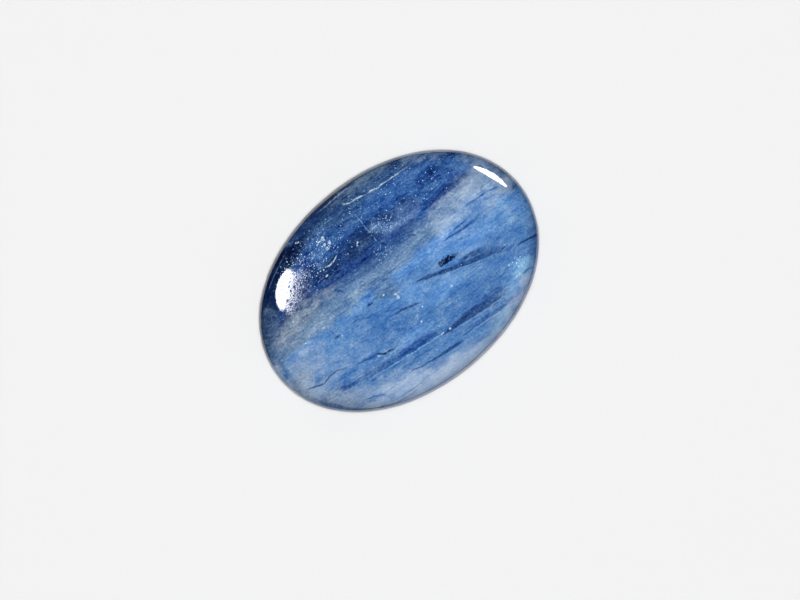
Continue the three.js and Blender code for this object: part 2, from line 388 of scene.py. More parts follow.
# Single bright spots, scratches and pits on the dome
SPARKS = (
    Mark(-2.12, 4.64, 0.24, 0.07, -5, Blue.FROST, 1.0),
    Mark(-1.86, 4.66, 0.24, 0.08, 96, Blue.FROST, 1.0),
    Mark(-2.02, 4.32, 0.13, 0.09, 20, Blue.FROST, 0.8),
    Mark(-1.72, 4.26, 0.16, 0.1, 50, Blue.FROST, 1.0),
    Mark(-2.06, 4.03, 0.16, 0.09, -20, Blue.FROST, 0.9),
    Mark(-0.53, 3.17, 0.2, 0.08, 52, Blue.FROST, 1.0),
    Mark(-0.86, 3.25, 0.09, 0.07, 40, Blue.GLINT, 0.8),
    Mark(-3.2, 5.45, 0.16, 0.08, -14, Blue.FROST, 1.0),
    Mark(-3.7, 5.7, 0.2, 0.06, 4, Blue.GLINT, 0.8),
    Mark(-3.05, 2.85, 0.14, 0.06, 12, Blue.FROST, 0.8),
    Mark(-0.63, -0.6, 0.26, 0.09, 96, Blue.FROST, 0.8),
    Mark(-0.66, -0.76, 0.08, 0.07, 0, Blue.FROST, 0.8),
    Mark(-0.47, -2.66, 0.11, 0.08, 40, Blue.FROST, 0.9),
    Mark(0.07, -3.5, 0.17, 0.06, 0, Blue.FROST, 0.9),
    Mark(0.04, -3.96, 0.16, 0.06, 0, Blue.FROST, 0.9),
    Mark(7.55, -0.5, 0.08, 0.2, 30, Blue.GLINT, 0.6),
    Mark(7.25, -1.25, 0.06, 0.3, 12, Blue.GLINT, 0.5),
    Mark(-0.8, -4.48, 0.12, 0.05, -20, Blue.GLINT, 0.8),
    Mark(0.55, -4.0, 0.1, 0.07, 0, Blue.FROST, 0.9),
    Mark(1.36, -3.6, 0.07, 0.07, 0, Blue.GLINT, 0.9),
    Mark(-2.1, -2.6, 0.08, 0.07, 0, Blue.GLINT, 0.8),
    Mark(2.15, -2.15, 0.1, 0.07, 0, Blue.FROST, 0.8),
    Mark(5.52, -3.3, 0.07, 0.07, 0, Blue.FROST, 0.8),
    Mark(-1.22, -0.08, 0.1, 0.06, 0, Blue.FROST, 0.8),
    Mark(0.44, 3.6, 1.5, 0.05, 90, Blue.GLINT, 0.5),
    Mark(-3.62, -2.66, 0.1, 0.06, -40, Blue.FROST, 0.9),
    Mark(-3.4, -2.98, 0.12, 0.05, 0, Blue.GLINT, 0.7),
    Mark(-2.66, 0.0, 0.09, 0.12, 0, Blue.GLINT, 0.8),
    Mark(-6.98, 0.1, 0.1, 0.12, 30, Blue.PALE, 0.7),
    Mark(0.68, -1.5, 0.9, 0.07, 90, Blue.COBALT, 0.5),
    Mark(-4.87, 0.05, 0.35, 0.06, 98, Blue.ROYAL, 0.7),
    Mark(-1.88, 0.4, 0.08, 0.07, 0, Blue.NAVY, 0.9),
    Mark(1.26, -0.08, 0.07, 0.06, 0, Blue.ROYAL, 0.9),
)

# Where white specks lie, and how thick; beside the left highlight they are partly painted sparkle
PITTED = (
    # Partly painted sparkle: the thick specks beside the left highlight stand in for its light caught in
    # pits; elsewhere they are white pits of the stone
    Mark(-3.0, 4.2, 3.6, 1.7, 6, Blue.FROST, 0.3),
    Mark(-3.3, 3.9, 1.5, 1.1, 0, Blue.FROST, 0.5),
    Mark(3.2, 4.3, 5.0, 2.2, -6, Blue.FROST, 0.14),
    Mark(1.2, 3.1, 1.0, 0.8, -30, Blue.FROST, 0.7),
    Mark(0.3, 1.8, 0.9, 0.7, 0, Blue.FROST, 0.45),
    Mark(0.0, -1.0, 8.5, 3.0, -6, Blue.FROST, 0.012),
    Mark(5.9, -3.7, 0.9, 0.7, 20, Blue.FROST, 0.5),
    Mark(7.2, -1.2, 0.4, 0.5, 0, Blue.FROST, 0.5),
    Mark(-2.1, 4.4, 0.8, 0.7, 0, Blue.FROST, 0.85),
)

# The worn patch beside the left highlight, and the hazy band along the stone
WORN = Mark(-4.9, 3.0, 2.3, 1.15, 36, Blue.FROST, 1.0)
HAZY_BAND = Mark(0.0, 1.4, 14.0, 2.0, 0, Blue.HAZE)

# The bands of colour, each by its place across the stone; the pale stop at the lower edge is painted light
# shining through the thin rim
BANDS = (
    (-6.2, Blue.PALE), (-5.6, Blue.MIST), (-5.0, Blue.CORNFLOWER), (-4.2, Blue.CERULEAN),
    (-3.2, Blue.CERULEAN), (-2.0, Blue.CORNFLOWER), (-0.8, Blue.CORNFLOWER), (0.3, Blue.CERULEAN),
    (0.8, Blue.HAZE), (1.2, Blue.HAZE), (1.7, Blue.DIM), (2.3, Blue.NAVY), (3.3, Blue.NAVY),
    (4.1, Blue.ROYAL), (5.1, Blue.TWILIGHT), (6.0, Blue.SLATE), (6.4, Blue.DUSK),
)


class Sum(Enum):
    """What a Math node works out, by Blender's names."""

    ADD = "ADD"
    SUBTRACT = "SUBTRACT"
    MULTIPLY = "MULTIPLY"
    DIVIDE = "DIVIDE"
    MAXIMUM = "MAXIMUM"
    LESS_THAN = "LESS_THAN"


class Passage(Enum):
    """How a ramp passes from stop to stop, by Blender's names."""

    EASED = "EASE"
    STRAIGHT = "LINEAR"


class Span(NamedTuple):
    """A range of values and the range that it is mapped to.

    Attributes:
        low: The value that gives the start.
        high: The value that gives the end.
        start: What the low value gives.
        end: What the high value gives.
        eased: True if it leaves and reaches its ends softly, and False if it runs straight.
    """

    low: float
    high: float
    start: float = 0.0
    end: float = 1.0
    eased: bool = True


class Grain(NamedTuple):
    """A noise that runs through the stone.

    Attributes:
        size: Its scale along each axis, for each millimetre.
        detail: How many finer layers it has.
        rough: How strong each finer layer is.
        deepens: How much it deepens the colour where it is high or, below zero, makes it paler.
    """

    size: tuple[float, float, float]
    detail: float
    rough: float
    deepens: float = 0.0


class Shake(NamedTuple):
    """How the edges of some marks are shaken.

    Attributes:
        size: The scale of the noise that moves them along each axis, for each millimetre.
        reach: How far it moves a point at most, in millimetres.
        detail: How many finer layers the noise has.
    """

    size: tuple[float, float, float]
    reach: float
    detail: float = 5.0


class Dots(NamedTuple):
    """Small round dots, one at most in each cell of a scattered grid.

    Attributes:
        scale: How many cells a millimetre has.
        reach: A dot's radius, as a share of its cell.
        core: The radius of its full middle, as a share of its cell.
    """

    scale: float
    reach: float
    core: float


# The noises that run through the stone
MOTTLE = Grain((0.9, 1.5, 1.1), 5.0, 0.62, -1.35)
FIBRE = Grain((0.5, 3.6, 1.0), 3.0, 0.6, -0.6)
STRAND = Grain((0.9, 9.0, 2.0), 3.0, 0.6, -0.25)
CRYSTAL = Grain((7.0, 8.0, 7.0), 2.0, 0.7, -1.2)
FLECK = Grain((1.7, 9.0, 3.0), 3.0, 0.55)
WHEEL_MARKS = Grain((11.0, 11.0, 11.0), 2.0, 0.6)

# How far the edge of each kind of mark is shaken
CLOUD_EDGE = Shake((0.7, 1.3, 0.7), 0.45)
VEIN_EDGE = Shake((1.4, 2.2, 1.4), 0.09)
CRACK_EDGE = Shake((3.0, 4.0, 3.0), 0.09)

# White specks of three sizes, and the pocks of the worn patch
SPECKS = (Dots(4.6, 0.24, 0.12), Dots(8.5, 0.36, 0.16), Dots(13.0, 0.44, 0.24))
POCKS = Dots(4.0, 0.36, 0.24)

# How noise tears each kind of mark, and how that changes its share
CLOUD_TEAR = Span(0.36, 0.64, 0.2, 0.8, False)
VEIN_TEAR = Span(0.36, 0.64, 0.5, 1.0, False)
CRACK_TEAR = Span(0.40, 0.58, 0.25, 1.0, False)
SPARK_TEAR = Span(0.40, 0.60, 0.0, 1.0, False)
TEAR_POWER = Span(0.0, 1.0, 0.0, 2.0, False)

# The shape of a mark and of a vein from its edge inwards
MARK_EDGE = Span(0.0, 0.6)
VEIN_CLEAN_EDGE = Span(-0.03, 0.03)
VEIN_FADE = Span(0.35, 1.0, 1.0, 0.0, False)
VEIN_BODY = Span(0.2, 1.0)

# How the bands lean from +Y to -Y, and where the rim starts
BAND_LEAN = Span(1.0, -4.0, 0.0, 0.10)
RIM_EDGE = Span(0.10, 0.02)

# How much the flecks deepen the colour
DARK_FLECK = Span(0.57, 0.66, 0.0, 0.3)
PALE_FLECK = Span(0.43, 0.35, 0.0, -0.1)

# How bright the white specks are, and how thick the worn patch's pocks lie
SPECK_GLEAM = Span(0.4, 1.0)
SPECK_BRIGHTNESS = Span(0.0, 1.0, 0.2, 1.0, False)
POCK_THICKNESS = Span(0.0, 0.6, 0.0, 0.5)

# The heights in millimetres between which the marks of the dome begin to show
DOME_LEVELS = Span(0.9, 1.3)

# How much light goes through
CLEAR_TO_HAZY = Span(0.0, 1.0, 0.42, 0.25)
CLEAR_AT_RIM = Span(0.3, 0.65, 0.0, 0.7)
CLOSED_BY_SPECK = Span(0.0, 1.0, 1.0, 0.0, False)

# Roughness and relief
POLISHED_TO_WORN = Span(0.0, 1.0, 0.03, 0.15)
GROUND_BACK = Span(0.36, 0.30, 0.0, 0.85)
RELIEF_TO_WORN = Span(0.0, 1.0, 0.12, 1.3)

# A breadth in millimetres that no vein goes under
THINNEST_VEIN = 0.001

# What goes into and comes out of a group of marks
OVERLAY_INPUTS = (("Under", "Color"), ("Place", "Vector"), ("Tear", "Float"))
OVERLAY_OUTPUT = ("Over", "Color")


class NodeBench:
    """Adds shader nodes to one tree and joins them, a call for each node."""

    def __init__(self, tree: bpy.types.NodeTree) -> None:
        """Keeps the tree that the nodes go in."""
        self.tree = tree

    def feed(self, socket: Socket, value: Optional[Feed]) -> None:
        """Links or sets one input.

        Args:
            socket: The input.
            value: A socket to link from, a number or colour to set, or None to leave it.
        """
        if value is None:
            return
        if isinstance(value, bpy.types.NodeSocket):
            self.tree.links.new(value, socket)
        else:
            socket.default_value = value

    def node(self, kind: str, settings: Optional[dict] = None, **inputs: Optional[Feed]) -> bpy.types.Node:
        """Adds a node.

        Args:
            kind: The node's type name without the word ShaderNode.
            settings: Its own properties by name.
            **inputs: What feeds its inputs, by input name in lower case with _ for a space.

        Returns:
            The new node.
        """
        made = self.tree.nodes.new("ShaderNode" + kind)
        for name, value in (settings or {}).items():
            setattr(made, name, value)
        for name, value in inputs.items():
            wanted = name.replace("_", " ")
            socket = next(s for s in made.inputs if s.enabled and s.name.lower() == wanted)
            self.feed(socket, value)
        return made

    def math(self, operation: Sum, first: Feed, second: Feed) -> Socket:
        """Adds a Math node.

        Args:
            operation: What it works out.
            first: The first value.
            second: The second value.

        Returns:
            The result.
        """
        made = self.tree.nodes.new("ShaderNodeMath")
        made.operation = operation.value
        self.feed(made.inputs[0], first)
        self.feed(made.inputs[1], second)
        return made.outputs[0]

    def blend(self, share: Feed, under: Feed, over: Feed) -> Socket:
        """Adds a colour Mix node.

        Args:
            share: How much of the upper colour shows.
            under: The lower colour.
            over: The upper colour.

        Returns:
            The mixed colour.
        """
        made = self.tree.nodes.new("ShaderNodeMix")
        made.data_type = "RGBA"
        self.feed(made.inputs[0], share)
        self.feed(made.inputs[6], under)
        self.feed(made.inputs[7], over)
        return made.outputs[2]

    def spread(self, value: Feed, span: Span) -> Socket:
        """Maps a value from one range to another.

        Args:
            value: The value.
            span: The two ranges.

        Returns:
            The mapped value.
        """
        eased = "SMOOTHSTEP" if span.eased else "LINEAR"
        made = self.node("MapRange", {"interpolation_type": eased}, value=value)
        for socket, number in zip(made.inputs[1:5], (span.low, span.high, span.start, span.end)):
            socket.default_value = number
        return made.outputs[0]

    def placed(self, vector: Feed, place: Feed = None, turn: Feed = None, size: Feed = None,
               kind: str = "POINT") -> Socket:
        """Adds a Mapping node.

        Args:
            vector: The vector to move, turn and scale.
            place: How far to move it.
            turn: How far to turn it about each axis, in radians.
            size: How much to scale it along each axis.
            kind: Blender's name for what the vector is.

        Returns:
            The mapped vector.
        """
        made = self.node("Mapping", {"vector_type": kind}, vector=vector)
        self.feed(made.inputs["Location"], place)
        self.feed(made.inputs["Rotation"], turn)
        self.feed(made.inputs["Scale"], size)
        return made.outputs[0]

    def noise(self, vector: Feed, kind: Grain) -> Socket:
        """Adds a Noise Texture.

        Args:
            vector: The place, in millimetres.
            kind: The noise's scale and layers.

        Returns:
            The noise, 0 to 1.
        """
        made = self.node("TexNoise", None, vector=self.placed(vector, size=kind.size), scale=1.0,
                         detail=kind.detail, roughness=kind.rough)
        return made.outputs["Fac"]

    def ramp(self, value: Feed, stops: Iterable[tuple[float, Colour]], passage: Passage) -> Socket:
        """Adds a Color Ramp.

        Args:
            value: What the ramp reads, 0 to 1.
            stops: Place and colour of each stop, in order.
            passage: How it passes from stop to stop.

        Returns:
            The ramp's colour.
        """
        made = self.node("ValToRGB", None, fac=value)
        band = made.color_ramp
        band.interpolation = passage.value
        listed = list(stops)
        while len(band.elements) < len(listed):
            band.elements.new(1.0)
        for element, (place, colour) in zip(band.elements, listed):
            element.position = place
            element.color = colour
        return made.outputs["Color"]


class Layer:
    """A node group being made: its bench, what is given to it and what it gives back."""

    def __init__(self, name: str, inputs: Iterable[tuple[str, str]], output: tuple[str, str]) -> None:
        """Opens a new group.

        Args:
            name: The group's name.
            inputs: Name and kind of each input, where the kind is Blender's, such as Float.
            output: Name and kind of its one output.
        """
        self.tree = bpy.data.node_groups.new(name, "ShaderNodeTree")
        for label, kind in inputs:
            self.tree.interface.new_socket(label, in_out="INPUT", socket_type="NodeSocket" + kind)
        self.tree.interface.new_socket(output[0], in_out="OUTPUT", socket_type="NodeSocket" + output[1])
        self.bench = NodeBench(self.tree)
        self.given = self.tree.nodes.new("NodeGroupInput").outputs
        self.result = self.tree.nodes.new("NodeGroupOutput").inputs[0]

    def close(self, value: Socket) -> bpy.types.NodeTree:
        """Gives a value back as the group's output and returns the group."""
        self.bench.feed(self.result, value)
        return self.tree


def soft_oval() -> bpy.types.NodeTree:
    """Makes the node group that every mark uses: how far inside a soft, torn oval a point lies.

    Returns:
        The group, with inputs Vector, Middle, Turn, Size, Strength and Tear, and output Share.
    """
    vectors = [(name, "Vector") for name in ("Vector", "Middle", "Turn", "Size")]
    layer = Layer("soft_oval", (*vectors, ("Strength", "Float"), ("Tear", "Float")), ("Share", "Float"))
    bench, given = layer.bench, layer.given
    local = bench.placed(given["Vector"], given["Middle"], given["Turn"], given["Size"], "TEXTURE")
    inside = bench.node("TexGradient", {"gradient_type": "SPHERICAL"}, vector=local).outputs["Fac"]
    torn = bench.math(Sum.MULTIPLY, inside, bench.spread(given["Tear"], TEAR_POWER))
    return layer.close(bench.math(Sum.MULTIPLY, bench.spread(torn, MARK_EDGE), given["Strength"]))


def clean_side(half_width: float) -> bpy.types.NodeTree:
    """Makes the node group that every vein uses: how far inside a layer with one clean side a point lies.

    Args:
        half_width: Half of the stone's width, in millimetres, which scales the course's red.

    Returns:
        The group, with inputs Across, Course and Tear, and output Share.
    """
    inputs = (("Across", "Float"), ("Course", "Color"), ("Tear", "Float"))
    layer = Layer("clean_side", inputs, ("Share", "Float"))
    bench, given = layer.bench, layer.given
    course = bench.node("SeparateColor", None, color=given["Course"])
    side = bench.spread(course.outputs["Red"], Span(0.0, 1.0, -half_width, half_width, False))
    inwards = bench.math(Sum.SUBTRACT, given["Across"], side)
    depth = bench.math(Sum.DIVIDE, inwards, bench.math(Sum.MAXIMUM, course.outputs["Green"], THINNEST_VEIN))
    past_side = bench.spread(inwards, VEIN_CLEAN_EDGE)
    torn = bench.math(Sum.MULTIPLY, bench.spread(depth, VEIN_FADE), bench.spread(given["Tear"], TEAR_POWER))
    body = bench.math(Sum.MULTIPLY, past_side, bench.spread(torn, VEIN_BODY))
    return layer.close(bench.math(Sum.MULTIPLY, body, course.outputs["Blue"]))


@dataclass
class KyaniteFinish:
    """Polished translucent kyanite: colour in bands along the blades, streaks, haze, pits and scratches,
    with painted shade at the rim and some painted light.

    Attributes:
        half_length: Half of the oval's length, in millimetres.
        half_width: Half of its width, in millimetres.
        refraction: The stone's index of refraction.
        deepening: The colour that long ways through the stone keep.
        depth_per_metre: How fast the stone takes the other colours.
        slab_depth: Half of the depth that a mark reaches through the stone, in millimetres.
        depth: The power that the colour is taken to where no noise deepens it.
        blade_lean: The angle of the blades from the oval's length, in degrees.
        painted_rim_shade: How much painted shade darkens the colour at the very edge, 0 to 1.
        band_mottle: How far the mottle moves the bands, in millimetres.
        band_fibre: How far the fibres move the bands, in millimetres.
        speck_rough: How rough a white speck is, 0 to 1.
        pock_rough: How rough a pock of the worn patch is, 0 to 1.
        relief_depth: The depth of the wheel marks and pits, in metres.
        relief_strength: How strongly they show, 0 to 1.
    """

    half_length: float
    half_width: float
    refraction: float = 1.72
    deepening: Colour = shade(150, 190, 235)
    depth_per_metre: float = 120.0
    slab_depth: float = 60.0
    depth: float = 0.94
    blade_lean: float = 5.0
    painted_rim_shade: float = 0.25
    band_mottle: float = 1.6
    band_fibre: float = 0.6
    speck_rough: float = 0.3
    pock_rough: float = 0.8
    relief_depth: float = 0.000012
    relief_strength: float = 0.6
    bench: NodeBench = field(init=False, repr=False)
    oval: bpy.types.NodeTree = field(init=False, repr=False)
    side: bpy.types.NodeTree = field(init=False, repr=False)

    def material(self) -> bpy.types.Material:
        """Makes the stone's material.

        Returns:
            The material.
        """
        made = bpy.data.materials.new("kyanite_polished")
        made.use_nodes = True
        made.node_tree.nodes.clear()
        bench = self.bench = NodeBench(made.node_tree)
        self.oval = soft_oval()
        self.side = clean_side(self.half_width)
        place = bench.placed(bench.node("TexCoord").outputs["Object"], size=(1 / MILLIMETRE,) * 3)
        level = bench.node("SeparateXYZ", None, vector=place).outputs["Z"]
        wavy = self.shaken(place, CLOUD_EDGE)
        worn = self.share_of(bench, WORN, place)
        pocks = self.dots(place, POCKS, bench.spread(worn, POCK_THICKNESS))[0]
        specks = self.specks(place)
        shader = bench.node("BsdfPrincipled", None, base_color=self.colour(place, level, wavy, specks),
                            ior=self.refraction, transmission_weight=self.clearness(wavy, specks),
                            roughness=self.roughness(level, worn, pocks, specks),
                            normal=self.polish(place, worn, bench.math(Sum.MAXIMUM, specks, pocks)))
        absorb = bench.node("VolumeAbsorption", None, color=self.deepening, density=self.depth_per_metre)
        bench.node("OutputMaterial", None, surface=shader.outputs["BSDF"], volume=absorb.outputs["Volume"])
        return made

    def colour(self, place: Socket, level: Socket, wavy: Socket, specks: Socket) -> Socket:
        """Lays the colour: bands, clouds and dark veins all through the stone, scratches on its dome,
        painted light in a few clouds and painted shade at the rim.

        Args:
            place: The place, in millimetres.
            level: The height over the back, in millimetres.
            wavy: The place as the clouds' edges are shaken.
            specks: How much of a white speck lies there.

        Returns:
            The colour.
        """
        bench = self.bench
        leaning = bench.placed(place, turn=(0, 0, math.radians(self.blade_lean)))
        drawn = self.shaken(place, VEIN_EDGE)
        mottle = bench.noise(place, MOTTLE)
        fibre = bench.noise(leaning, FIBRE)
        strand = bench.noise(leaning, STRAND)
        crystal = bench.noise(leaning, CRYSTAL)
        colour = self.zones(place, mottle, fibre)
        colour = self.marked(colour, CLOUDS, wavy, bench.spread(mottle, CLOUD_TEAR))
        colour = self.veined(colour, DARK_VEINS, drawn, bench.spread(strand, VEIN_TEAR))
        noises = ((mottle, MOTTLE), (fibre, FIBRE), (strand, STRAND), (crystal, CRYSTAL))
        colour = self.deepened(colour, noises, bench.noise(leaning, FLECK))
        cracked = bench.spread(crystal, CRACK_TEAR)
        colour = self.veined(colour, CRACKS, self.shaken(place, CRACK_EDGE), cracked)
        gleam = bench.blend(bench.spread(specks, SPECK_GLEAM), Blue.GLINT.value, Blue.FROST.value)
        scratched = bench.blend(specks, self.veined(colour, PALE_VEINS, drawn, cracked), gleam)
        scratched = self.marked(scratched, SPARKS, place, bench.spread(crystal, SPARK_TEAR))
        colour = bench.blend(bench.spread(level, DOME_LEVELS), colour, scratched)
        # Painted shade: the colour is darkened towards the oval's edge, where grazing light leaves a dark
        # rim line.
        edge = bench.math(Sum.MULTIPLY, self.rim(place), self.painted_rim_shade)
        return bench.blend(edge, colour, Blue.DUSK.value)

    def clearness(self, wavy: Socket, specks: Socket) -> Socket:
        """Works out how much light goes through: less in the hazy band, more at the rim, none at a speck.

        Args:
            wavy: The place as the clouds' edges are shaken.
            specks: How much of a white speck lies there.

        Returns:
            The share of light that goes through.
        """
        bench = self.bench
        haze = self.share_of(bench, HAZY_BAND, wavy)
        steep = bench.node("LayerWeight", None, blend=0.5).outputs["Facing"]
        clear = bench.math(Sum.MAXIMUM, bench.spread(haze, CLEAR_TO_HAZY), bench.spread(steep, CLEAR_AT_RIM))
        return bench.math(Sum.MULTIPLY, clear, bench.spread(specks, CLOSED_BY_SPECK))

    def roughness(self, level: Socket, worn: Socket, pocks: Socket, specks: Socket) -> Socket:
        """Works out how rough the stone is: polished, worn in one patch, and ground matt on its back.

        Args:
            level: The height over the back, in millimetres.
            worn: How much of the worn patch lies there.
            pocks: How much of one of its pocks lies there.
            specks: How much of a white speck lies there.

        Returns:
            The roughness.
        """
        bench = self.bench
        patch = bench.math(Sum.MAXIMUM, bench.spread(worn, POLISHED_TO_WORN),
                           bench.math(Sum.MULTIPLY, pocks, self.pock_rough))
        rest = bench.math(Sum.MAXIMUM, bench.math(Sum.MULTIPLY, specks, self.speck_rough),
                          bench.spread(level, GROUND_BACK))
        return bench.math(Sum.MAXIMUM, patch, rest)

    def zones(self, place: Socket, mottle: Socket, fibre: Socket) -> Socket:
        """Makes the broad bands of colour from one long side to the other.

        Args:
            place: The place, in millimetres.
            mottle: The noise that moves the bands most.
            fibre: The noise that frays them.

        Returns:
            The bands' colour.
        """
        bench = self.bench
        parts = bench.node("SeparateXYZ", None, vector=place)
        across = parts.outputs["Y"]
        lean = bench.math(Sum.MULTIPLY, parts.outputs["X"], bench.spread(across, BAND_LEAN))
        tear = bench.math(Sum.MULTIPLY, bench.math(Sum.SUBTRACT, mottle, 0.5), self.band_mottle)
        split = bench.math(Sum.MULTIPLY, bench.math(Sum.SUBTRACT, fibre, 0.5), self.band_fibre)
        for move in (lean, tear, split):
            across = bench.math(Sum.ADD, across, move)
        share = bench.spread(across, Span(-self.half_width, self.half_width, eased=False))
        spans = 2 * self.half_width
        stops = [((spot + self.half_width) / spans, tint.value) for spot, tint in BANDS]
        return bench.ramp(share, stops, Passage.EASED)

    def shaken(self, place: Socket, shake: Shake) -> Socket:
        """Moves a place by noise, so that no mark on it has a clean oval edge.

        Args:
            place: The place, in millimetres.
            shake: The noise's scale and reach.

        Returns:
            The moved place.
        """
        bench = self.bench
        scaled_place = bench.placed(place, size=shake.size)
        noise = bench.node("TexNoise", None, vector=scaled_place, scale=1.0, detail=shake.detail)
        centred = bench.node("VectorMath", {"operation": "SUBTRACT"})
        bench.feed(centred.inputs[0], noise.outputs["Color"])
        bench.feed(centred.inputs[1], (0.5, 0.5, 0.5))
        scaled = bench.node("VectorMath", {"operation": "SCALE"})
        bench.feed(scaled.inputs[0], centred.outputs[0])
        bench.feed(scaled.inputs["Scale"], 2 * shake.reach)
        total = bench.node("VectorMath", {"operation": "ADD"})
        bench.feed(total.inputs[0], place)
        bench.feed(total.inputs[1], scaled.outputs[0])
        return total.outputs[0]

    def deepened(self, colour: Socket, noises: Iterable[tuple[Socket, Grain]], fleck: Socket) -> Socket:
        """Makes the colour deeper and paler from place to place, as a longer or shorter way through does.

        Args:
            colour: The colour to change.
            noises: What changes it all over, each noise with its kind.
            fleck: The noise whose highest places are dark flecks and whose lowest are pale ones.

        Returns:
            The changed colour.
        """
        bench = self.bench
        power: Feed = self.depth
        for noise, kind in noises:
            change = bench.math(Sum.MULTIPLY, bench.math(Sum.SUBTRACT, noise, 0.5), kind.deepens)
            power = bench.math(Sum.ADD, power, change)
        for span in (DARK_FLECK, PALE_FLECK):
            power = bench.math(Sum.ADD, power, bench.spread(fleck, span))
        return bench.node("Gamma", None, color=colour, gamma=power).outputs["Color"]

    def share_of(self, bench: NodeBench, mark: Mark, place: Socket, tear: Feed = 0.5) -> Socket:
        """Works out how much of a mark lies at each place.

        Args:
            bench: The bench of the tree that the node goes in.
            mark: The mark.
            place: The place, in millimetres.
            tear: What frays its edge, 0 to 1.

        Returns:
            The share, 0 to 1.
        """
        made = bench.node("Group", {"node_tree": self.oval}, vector=place, strength=mark.strength, tear=tear,
                          middle=(mark.along, mark.across, 0.0), turn=(0.0, 0.0, math.radians(mark.turn)),
                          size=(mark.reach, mark.breadth, self.slab_depth))
        return made.outputs["Share"]

    def laid(self, layer: Layer, within: Socket, colour: Socket, place: Socket, tear: Socket) -> Socket:
        """Closes a group of marks and lays it over a colour.

        Args:
            layer: The group.
            within: The colour that it gives back.
            colour: The colour under it.
            place: The place, in millimetres.
            tear: What frays its marks, 0 to 1.

        Returns:
            The colour with the marks in it.
        """
        tree = layer.close(within)
        made = self.bench.node("Group", {"node_tree": tree}, under=colour, place=place, tear=tear)
        return made.outputs["Over"]

    def marked(self, colour: Socket, marks: Iterable[Mark], place: Socket, tear: Socket) -> Socket:
        """Lays marks over a colour, in order and in a group of their own.

        Args:
            colour: The colour under them.
            marks: The marks.
            place: The place, in millimetres.
            tear: What frays their edges, 0 to 1.

        Returns:
            The colour with the marks in it.
        """
        layer = Layer("marks", OVERLAY_INPUTS, OVERLAY_OUTPUT)
        within = layer.given["Under"]
        for mark in marks:
            share = self.share_of(layer.bench, mark, layer.given["Place"], layer.given["Tear"])
            within = layer.bench.blend(share, within, mark.tint.value)
        return self.laid(layer, within, colour, place, tear)

    def veined(self, colour: Socket, veins: Iterable[Vein], place: Socket, tear: Socket) -> Socket:
        """Lays veins over a colour, in order and in a group of their own.

        Args:
            colour: The colour under them.
            veins: The veins.
            place: The place, in millimetres.
            tear: What frays their fading side, 0 to 1.

        Returns:
            The colour with the veins in it.
        """
        layer = Layer("veins", OVERLAY_INPUTS, OVERLAY_OUTPUT)
        bench = layer.bench
        parts = bench.node("SeparateXYZ", None, vector=layer.given["Place"])
        along = bench.spread(parts.outputs["X"], Span(-self.half_length, self.half_length, eased=False))
        within = layer.given["Under"]
        for vein in veins:
            stops = []
            for station, side, breadth, strength in vein.stations:
                spot = (station + self.half_length) / (2 * self.half_length)
                height = (side + self.half_width) / (2 * self.half_width)
                stops.append((spot, (height, breadth, strength, 1.0)))
            course = bench.ramp(along, stops, Passage.STRAIGHT)
            share = bench.node("Group", {"node_tree": self.side}, across=parts.outputs["Y"], course=course,
                               tear=layer.given["Tear"])
            within = bench.blend(share.outputs["Share"], within, vein.tint.value)
        return self.laid(layer, within, colour, place, tear)

    def rim(self, place: Socket) -> Socket:
        """Works out how near the oval's edge a place is.

        Args:
            place: The place, in millimetres.

        Returns:
            Zero inside and 1 at the edge.
        """
        bench = self.bench
        flat = bench.placed(place, size=(1 / self.half_length, 1 / self.half_width, 0.0))
        inside = bench.node("TexGradient", {"gradient_type": "SPHERICAL"}, vector=flat)
        return bench.spread(inside.outputs["Fac"], RIM_EDGE)

    def specks(self, place: Socket) -> Socket:
        """Scatters small white pits and bubbles of three sizes where the stone is pitted, thickest beside
        the left highlight, where they are partly painted sparkle.

        Args:
            place: The place, in millimetres.

        Returns:
            How much of a speck lies there, 0 to 1.
        """
        bench = self.bench
        pitted: Feed = 0.0
        for mark in PITTED:
            pitted = bench.math(Sum.MAXIMUM, pitted, self.share_of(bench, mark, place))
        total: Feed = 0.0
        for kind in SPECKS:
            dots, own = self.dots(place, kind, pitted)
            bright = bench.spread(bench.math(Sum.MULTIPLY, own, own), SPECK_BRIGHTNESS)
            total = bench.math(Sum.MAXIMUM, total, bench.math(Sum.MULTIPLY, dots, bright))
        return total

    def dots(self, place: Socket, kind: Dots, thick: Socket) -> tuple[Socket, Socket]:
        """Scatters small round dots.

        Args:
            place: The place, in millimetres.
            kind: The dots' sizes.
            thick: The share of cells that have a dot.

        Returns:
            How far inside a dot a place lies, and a number of the dot's own, both 0 to 1.
        """
        bench = self.bench
        cells = bench.node("TexVoronoi", {"feature": "F1"}, vector=place, scale=kind.scale)
        near = bench.spread(cells.outputs["Distance"], Span(kind.reach, kind.core))
        own = bench.node("SeparateXYZ", None, vector=cells.outputs["Color"])
        enough = bench.math(Sum.LESS_THAN, own.outputs["X"], thick)
        return bench.math(Sum.MULTIPLY, near, enough), own.outputs["Y"]

    def polish(self, place: Socket, worn: Socket, pits: Socket) -> Socket:
        """Makes the small relief: faint wheel marks all over, deeper by the worn patch, and pits.

        Args:
            place: The place, in millimetres.
            worn: How much of the worn patch lies there.
            pits: How much of a pit lies there.

        Returns:
            The surface's direction.
        """
        bench = self.bench
        marks = bench.math(Sum.MULTIPLY, bench.noise(place, WHEEL_MARKS), bench.spread(worn, RELIEF_TO_WORN))
        made = bench.node("Bump", None, strength=self.relief_strength, distance=self.relief_depth,
                          height=bench.math(Sum.SUBTRACT, marks, pits))
        return made.outputs["Normal"]


